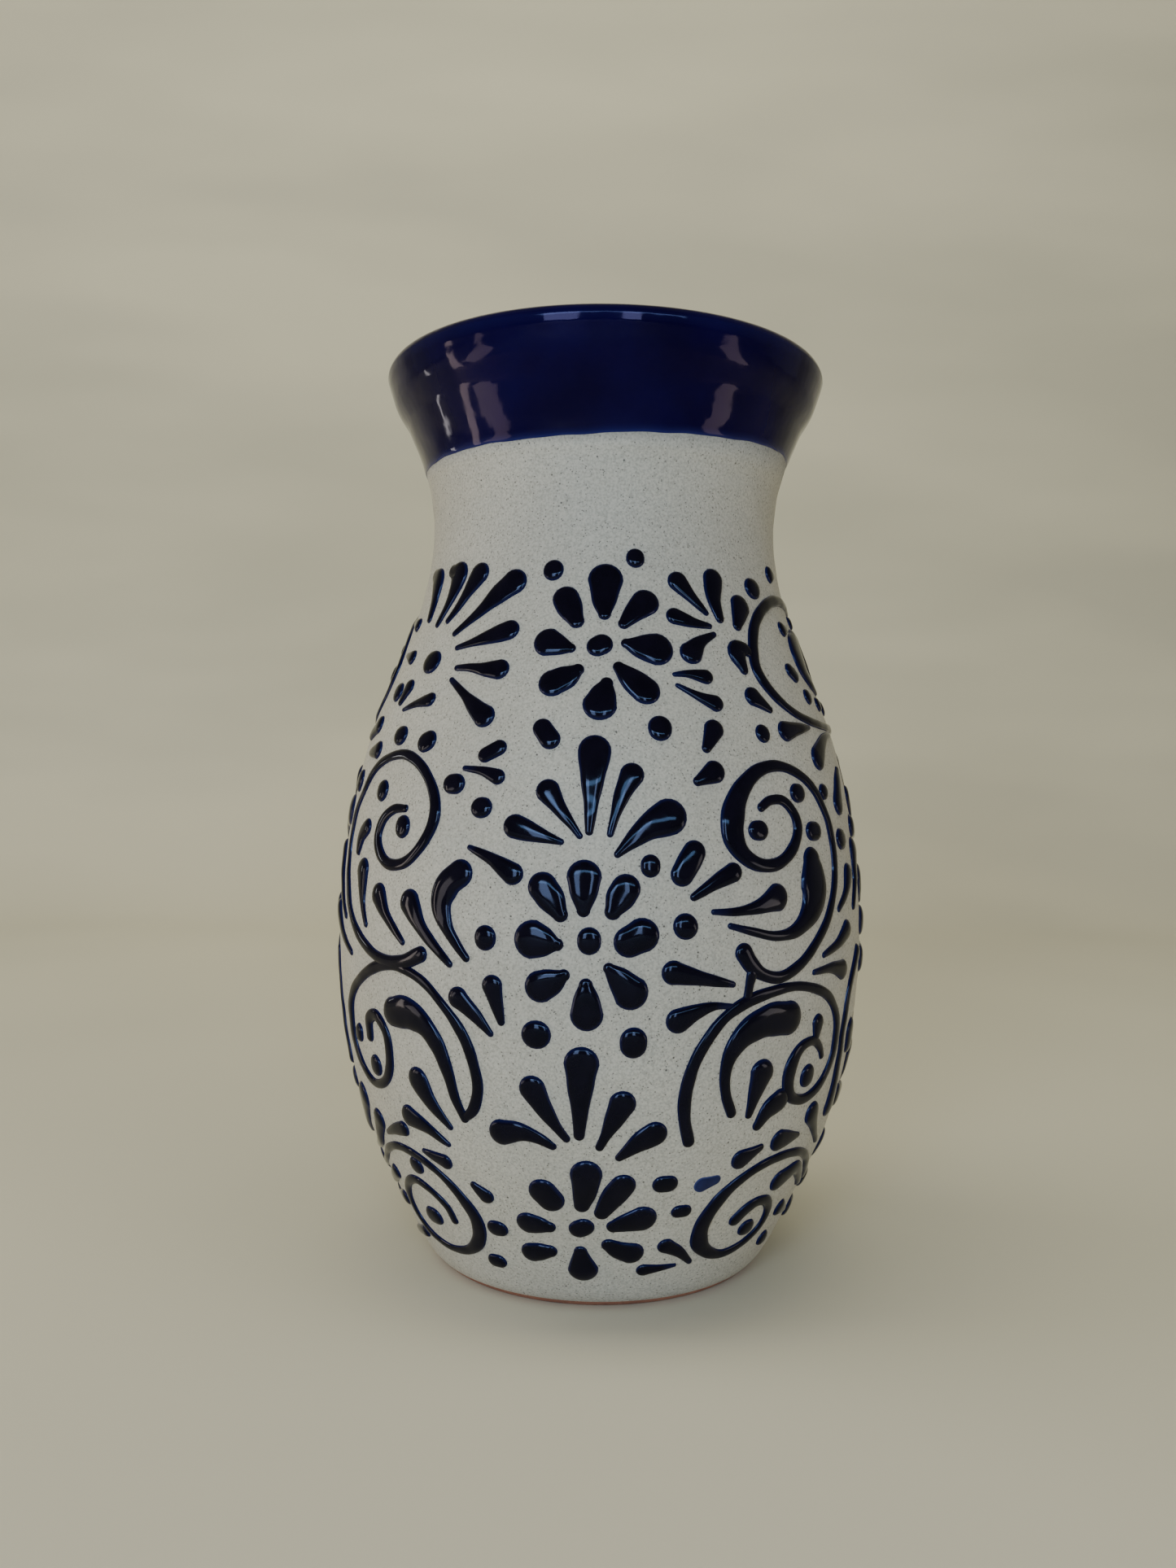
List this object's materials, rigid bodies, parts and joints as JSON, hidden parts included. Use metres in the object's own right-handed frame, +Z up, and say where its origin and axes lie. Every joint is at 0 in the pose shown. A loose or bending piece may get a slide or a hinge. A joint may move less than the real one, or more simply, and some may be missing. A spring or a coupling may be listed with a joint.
{
  "type": "talavera pottery vase",
  "caption": "Round-bellied pottery vase with a narrow neck, a flared dark rim and raised dark scrolls, drops and rosettes on a pale slip coat.",
  "frame": {"origin": "centre of the foot, on the surface the vase stands on", "axes": "+Z up along the axis of turning, towards the mouth; -Y towards the side with the column of rosettes; +X to the right as seen from that side"},
  "size_m": [0.1652, 0.1668, 0.28],
  "materials": {
    "bare_clay": "matte, unglazed",
    "white_slip": "matte with fine dark speckles",
    "rim_glaze": "high gloss",
    "inner_slip": "satin",
    "stroke_glaze": "high gloss"
  },
  "bodies": {
    "root": {"clay_foot": "bare_clay", "clay_belly_low": "bare_clay", "clay_belly_high": "bare_clay", "clay_shoulder": "bare_clay", "clay_neck": "bare_clay", "clay_mouth": "bare_clay", "white_slip_coat": "white_slip", "rim_glaze": "rim_glaze", "inner_lining": "inner_slip", "comma_left_back": "stroke_glaze", "comma_left_front": "stroke_glaze", "comma_right_back": "stroke_glaze", "comma_right_front": "stroke_glaze", "fan_high_centre": "stroke_glaze", "fan_high_left": "stroke_glaze", "fan_high_mid_left": "stroke_glaze", "fan_high_mid_right": "stroke_glaze", "fan_high_right": "stroke_glaze", "fan_low_centre": "stroke_glaze", "fan_low_left": "stroke_glaze", "fan_low_mid_left": "stroke_glaze", "fan_low_mid_right": "stroke_glaze", "fan_low_right": "stroke_glaze", "high_scroll_right_back": "stroke_glaze", "high_scroll_right_front": "stroke_glaze", "low_spiral_left_back": "stroke_glaze", "low_spiral_left_front": "stroke_glaze", "low_spiral_right_back": "stroke_glaze", "low_spiral_right_front": "stroke_glaze", "rosette_high_heart": "stroke_glaze", "rosette_high_petal_e": "stroke_glaze", "rosette_high_petal_n": "stroke_glaze", "rosette_high_petal_ne": "stroke_glaze", "rosette_high_petal_nw": "stroke_glaze", "rosette_high_petal_s": "stroke_glaze", "rosette_high_petal_se": "stroke_glaze", "rosette_high_petal_sw": "stroke_glaze", "rosette_high_petal_w": "stroke_glaze", "rosette_low_heart": "stroke_glaze", "rosette_low_petal_e": "stroke_glaze", "rosette_low_petal_n": "stroke_glaze", "rosette_low_petal_ne": "stroke_glaze", "rosette_low_petal_nw": "stroke_glaze", "rosette_low_petal_s": "stroke_glaze", "rosette_low_petal_se": "stroke_glaze", "rosette_low_petal_sw": "stroke_glaze", "rosette_low_petal_w": "stroke_glaze", "rosette_mid_heart": "stroke_glaze", "rosette_mid_petal_e": "stroke_glaze", "rosette_mid_petal_n": "stroke_glaze", "rosette_mid_petal_ne": "stroke_glaze", "rosette_mid_petal_nw": "stroke_glaze", "rosette_mid_petal_s": "stroke_glaze", "rosette_mid_petal_se": "stroke_glaze", "rosette_mid_petal_sw": "stroke_glaze", "rosette_mid_petal_w": "stroke_glaze", "scroll_left_back": "stroke_glaze", "scroll_left_front": "stroke_glaze", "scroll_right_back": "stroke_glaze", "scroll_right_front": "stroke_glaze"}
  },
  "joints": []
}
